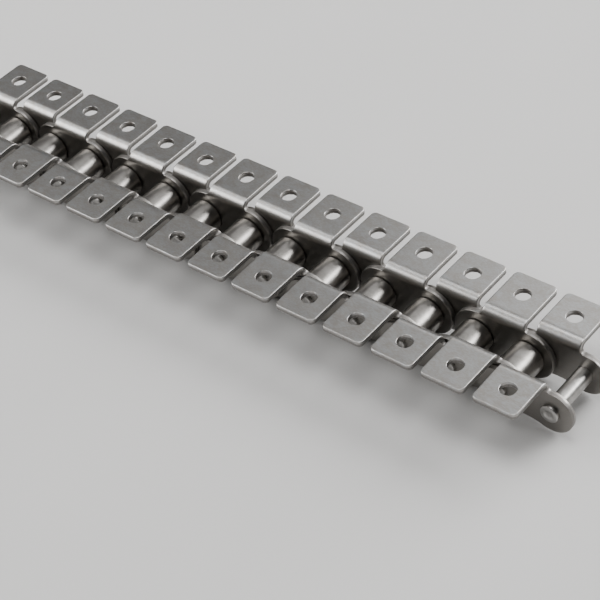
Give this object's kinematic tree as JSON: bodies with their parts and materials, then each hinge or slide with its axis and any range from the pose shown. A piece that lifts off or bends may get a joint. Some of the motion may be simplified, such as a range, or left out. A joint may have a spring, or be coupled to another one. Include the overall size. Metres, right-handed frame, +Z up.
{
  "type": "roller chain",
  "caption": "Straight length of stainless roller chain whose link plates are all bent outwards at the top into flat lugs with one bolt hole each.",
  "frame": {"origin": "on the surface that the chain lies on, below the middle of its length and width", "axes": "+X along the chain, +Y across it along the pins, +Z up out of the lugs' tops"},
  "size_m": [0.2836, 0.0534, 0.021],
  "materials": {
    "inner_plate": "satin stainless steel, tumbled, with a fine grain",
    "outer_plate": "satin stainless steel, tumbled, with a fine grain",
    "bush": "drawn stainless tube, satin",
    "pin": "ground stainless bar, riveted ends",
    "roller": "turned stainless steel, satin round the barrel"
  },
  "bodies": {
    "link_01": {"link_01_inner_plate_front": "inner_plate", "link_01_inner_plate_rear": "inner_plate", "link_01_bushes": "bush"},
    "link_01_roller_left": {"link_01_roller_left": "roller"},
    "link_01_roller_right": {"link_01_roller_right": "roller"},
    "link_02": {"link_02_outer_plate_front": "outer_plate", "link_02_outer_plate_rear": "outer_plate", "link_02_pins": "pin"},
    "link_03": {"link_03_inner_plate_front": "inner_plate", "link_03_inner_plate_rear": "inner_plate", "link_03_bushes": "bush"},
    "link_03_roller_left": {"link_03_roller_left": "roller"},
    "link_03_roller_right": {"link_03_roller_right": "roller"},
    "link_04": {"link_04_outer_plate_front": "outer_plate", "link_04_outer_plate_rear": "outer_plate", "link_04_pins": "pin"},
    "link_05": {"link_05_inner_plate_front": "inner_plate", "link_05_inner_plate_rear": "inner_plate", "link_05_bushes": "bush"},
    "link_05_roller_left": {"link_05_roller_left": "roller"},
    "link_05_roller_right": {"link_05_roller_right": "roller"},
    "link_06": {"link_06_outer_plate_front": "outer_plate", "link_06_outer_plate_rear": "outer_plate", "link_06_pins": "pin"},
    "link_07": {"link_07_inner_plate_front": "inner_plate", "link_07_inner_plate_rear": "inner_plate", "link_07_bushes": "bush"},
    "link_07_roller_left": {"link_07_roller_left": "roller"},
    "link_07_roller_right": {"link_07_roller_right": "roller"},
    "link_08": {"link_08_outer_plate_front": "outer_plate", "link_08_outer_plate_rear": "outer_plate", "link_08_pins": "pin"},
    "link_09": {"link_09_inner_plate_front": "inner_plate", "link_09_inner_plate_rear": "inner_plate", "link_09_bushes": "bush"},
    "link_09_roller_left": {"link_09_roller_left": "roller"},
    "link_09_roller_right": {"link_09_roller_right": "roller"},
    "link_10": {"link_10_outer_plate_front": "outer_plate", "link_10_outer_plate_rear": "outer_plate", "link_10_pins": "pin"},
    "link_11": {"link_11_inner_plate_front": "inner_plate", "link_11_inner_plate_rear": "inner_plate", "link_11_bushes": "bush"},
    "link_11_roller_left": {"link_11_roller_left": "roller"},
    "link_11_roller_right": {"link_11_roller_right": "roller"},
    "link_12": {"link_12_outer_plate_front": "outer_plate", "link_12_outer_plate_rear": "outer_plate", "link_12_pins": "pin"},
    "link_13": {"link_13_inner_plate_front": "inner_plate", "link_13_inner_plate_rear": "inner_plate", "link_13_bushes": "bush"},
    "link_13_roller_left": {"link_13_roller_left": "roller"},
    "link_13_roller_right": {"link_13_roller_right": "roller"},
    "link_14": {"link_14_outer_plate_front": "outer_plate", "link_14_outer_plate_rear": "outer_plate", "link_14_pins": "pin"}
  },
  "joints": [
    {"name": "pin_joint_01_02", "type": "hinge", "parent": "link_02", "child": "link_01", "pos_m": [-0.11367, 0, 0.00905], "axis": [0, 1, 0], "range_deg": [-40, 14]},
    {"name": "pin_joint_02_03", "type": "hinge", "parent": "link_03", "child": "link_02", "pos_m": [-0.09463, 0, 0.00905], "axis": [0, 1, 0], "range_deg": [-40, 14]},
    {"name": "pin_joint_03_04", "type": "hinge", "parent": "link_04", "child": "link_03", "pos_m": [-0.07558, 0, 0.00905], "axis": [0, 1, 0], "range_deg": [-40, 14]},
    {"name": "pin_joint_04_05", "type": "hinge", "parent": "link_05", "child": "link_04", "pos_m": [-0.05652, 0, 0.00905], "axis": [0, 1, 0], "range_deg": [-40, 14]},
    {"name": "pin_joint_05_06", "type": "hinge", "parent": "link_06", "child": "link_05", "pos_m": [-0.03748, 0, 0.00905], "axis": [0, 1, 0], "range_deg": [-40, 14]},
    {"name": "pin_joint_06_07", "type": "hinge", "parent": "link_07", "child": "link_06", "pos_m": [-0.01843, 0, 0.00905], "axis": [0, 1, 0], "range_deg": [-40, 14]},
    {"name": "pin_joint_07_08", "type": "hinge", "parent": "link_07", "child": "link_08", "pos_m": [0.00063, 0, 0.00905], "axis": [0, 1, 0], "range_deg": [-14, 40]},
    {"name": "pin_joint_08_09", "type": "hinge", "parent": "link_08", "child": "link_09", "pos_m": [0.01968, 0, 0.00905], "axis": [0, 1, 0], "range_deg": [-14, 40]},
    {"name": "pin_joint_09_10", "type": "hinge", "parent": "link_09", "child": "link_10", "pos_m": [0.03873, 0, 0.00905], "axis": [0, 1, 0], "range_deg": [-14, 40]},
    {"name": "pin_joint_10_11", "type": "hinge", "parent": "link_10", "child": "link_11", "pos_m": [0.05777, 0, 0.00905], "axis": [0, 1, 0], "range_deg": [-14, 40]},
    {"name": "pin_joint_11_12", "type": "hinge", "parent": "link_11", "child": "link_12", "pos_m": [0.07683, 0, 0.00905], "axis": [0, 1, 0], "range_deg": [-14, 40]},
    {"name": "pin_joint_12_13", "type": "hinge", "parent": "link_12", "child": "link_13", "pos_m": [0.09588, 0, 0.00905], "axis": [0, 1, 0], "range_deg": [-14, 40]},
    {"name": "pin_joint_13_14", "type": "hinge", "parent": "link_13", "child": "link_14", "pos_m": [0.11492, 0, 0.00905], "axis": [0, 1, 0], "range_deg": [-14, 40]},
    {"name": "link_01_roller_left_spin", "type": "hinge", "parent": "link_01", "child": "link_01_roller_left", "pos_m": [-0.13273, 0, 0.00905], "axis": [0, 1, 0], "continuous": true},
    {"name": "link_01_roller_right_spin", "type": "hinge", "parent": "link_01", "child": "link_01_roller_right", "pos_m": [-0.11367, 0, 0.00905], "axis": [0, 1, 0], "continuous": true},
    {"name": "link_03_roller_left_spin", "type": "hinge", "parent": "link_03", "child": "link_03_roller_left", "pos_m": [-0.09463, 0, 0.00905], "axis": [0, 1, 0], "continuous": true},
    {"name": "link_03_roller_right_spin", "type": "hinge", "parent": "link_03", "child": "link_03_roller_right", "pos_m": [-0.07558, 0, 0.00905], "axis": [0, 1, 0], "continuous": true},
    {"name": "link_05_roller_left_spin", "type": "hinge", "parent": "link_05", "child": "link_05_roller_left", "pos_m": [-0.05652, 0, 0.00905], "axis": [0, 1, 0], "continuous": true},
    {"name": "link_05_roller_right_spin", "type": "hinge", "parent": "link_05", "child": "link_05_roller_right", "pos_m": [-0.03748, 0, 0.00905], "axis": [0, 1, 0], "continuous": true},
    {"name": "link_07_roller_left_spin", "type": "hinge", "parent": "link_07", "child": "link_07_roller_left", "pos_m": [-0.01843, 0, 0.00905], "axis": [0, 1, 0], "continuous": true},
    {"name": "link_07_roller_right_spin", "type": "hinge", "parent": "link_07", "child": "link_07_roller_right", "pos_m": [0.00063, 0, 0.00905], "axis": [0, 1, 0], "continuous": true},
    {"name": "link_09_roller_left_spin", "type": "hinge", "parent": "link_09", "child": "link_09_roller_left", "pos_m": [0.01968, 0, 0.00905], "axis": [0, 1, 0], "continuous": true},
    {"name": "link_09_roller_right_spin", "type": "hinge", "parent": "link_09", "child": "link_09_roller_right", "pos_m": [0.03873, 0, 0.00905], "axis": [0, 1, 0], "continuous": true},
    {"name": "link_11_roller_left_spin", "type": "hinge", "parent": "link_11", "child": "link_11_roller_left", "pos_m": [0.05777, 0, 0.00905], "axis": [0, 1, 0], "continuous": true},
    {"name": "link_11_roller_right_spin", "type": "hinge", "parent": "link_11", "child": "link_11_roller_right", "pos_m": [0.07683, 0, 0.00905], "axis": [0, 1, 0], "continuous": true},
    {"name": "link_13_roller_left_spin", "type": "hinge", "parent": "link_13", "child": "link_13_roller_left", "pos_m": [0.09588, 0, 0.00905], "axis": [0, 1, 0], "continuous": true},
    {"name": "link_13_roller_right_spin", "type": "hinge", "parent": "link_13", "child": "link_13_roller_right", "pos_m": [0.11492, 0, 0.00905], "axis": [0, 1, 0], "continuous": true}
  ]
}
